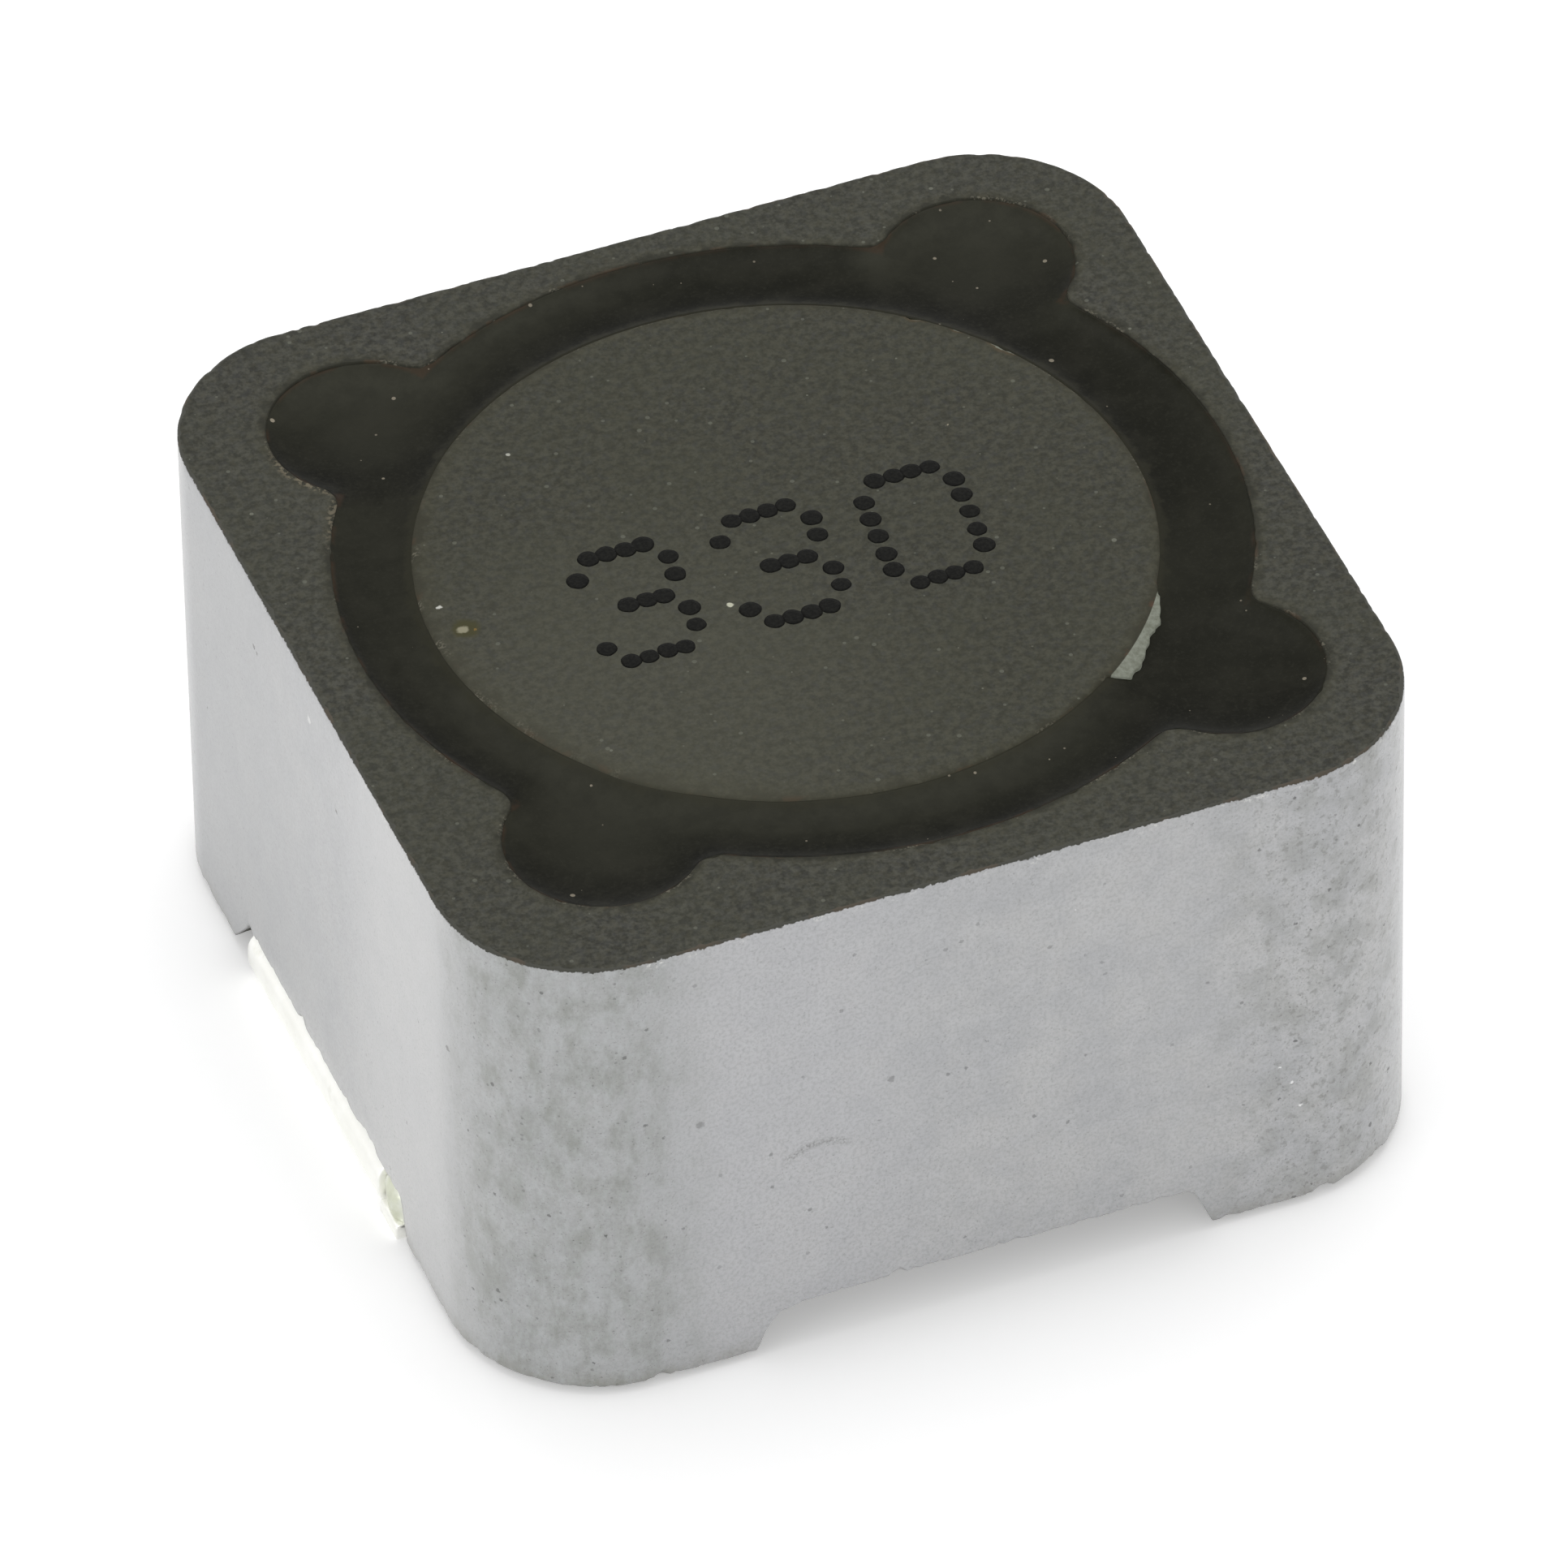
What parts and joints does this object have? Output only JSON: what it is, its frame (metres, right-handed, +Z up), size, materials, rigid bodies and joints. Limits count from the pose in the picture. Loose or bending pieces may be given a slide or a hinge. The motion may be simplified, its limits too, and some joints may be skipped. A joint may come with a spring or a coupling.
{
  "type": "shielded smd power inductor",
  "caption": "Square shielded power inductor for surface mounting: wound ferrite drum inside a lobed ferrite shield, closed by epoxy, on folded tin-plated terminals.",
  "frame": {"origin": "centre of the footprint on the board, level with the undersides of the solder pads", "axes": "+Z up from the board, +X along the reading direction of the value code, with one terminal at -X and one at +X"},
  "size_m": [0.012, 0.012, 0.0068],
  "materials": {
    "shield_ferrite": "sintered manganese-zinc ferrite, dark grey and finely speckled, with lighter ground and tumbled side faces",
    "drum_ferrite": "sintered ferrite, dark olive grey, finely speckled",
    "enamelled_copper": "copper wire under clear amber enamel, glossy",
    "tin_plate": "matte tin plate over a copper strip",
    "solder": "tin solder, satin, slightly grainy",
    "epoxy": "dark filled epoxy, semi-gloss, smooth"
  },
  "bodies": {
    "root": {"shield_core": "shield_ferrite", "drum_core": "drum_ferrite", "winding": "enamelled_copper", "terminal_left": "tin_plate", "terminal_right": "tin_plate", "solder_left": "solder", "solder_right": "solder", "rim_epoxy": "epoxy", "base_epoxy": "epoxy"}
  },
  "joints": []
}
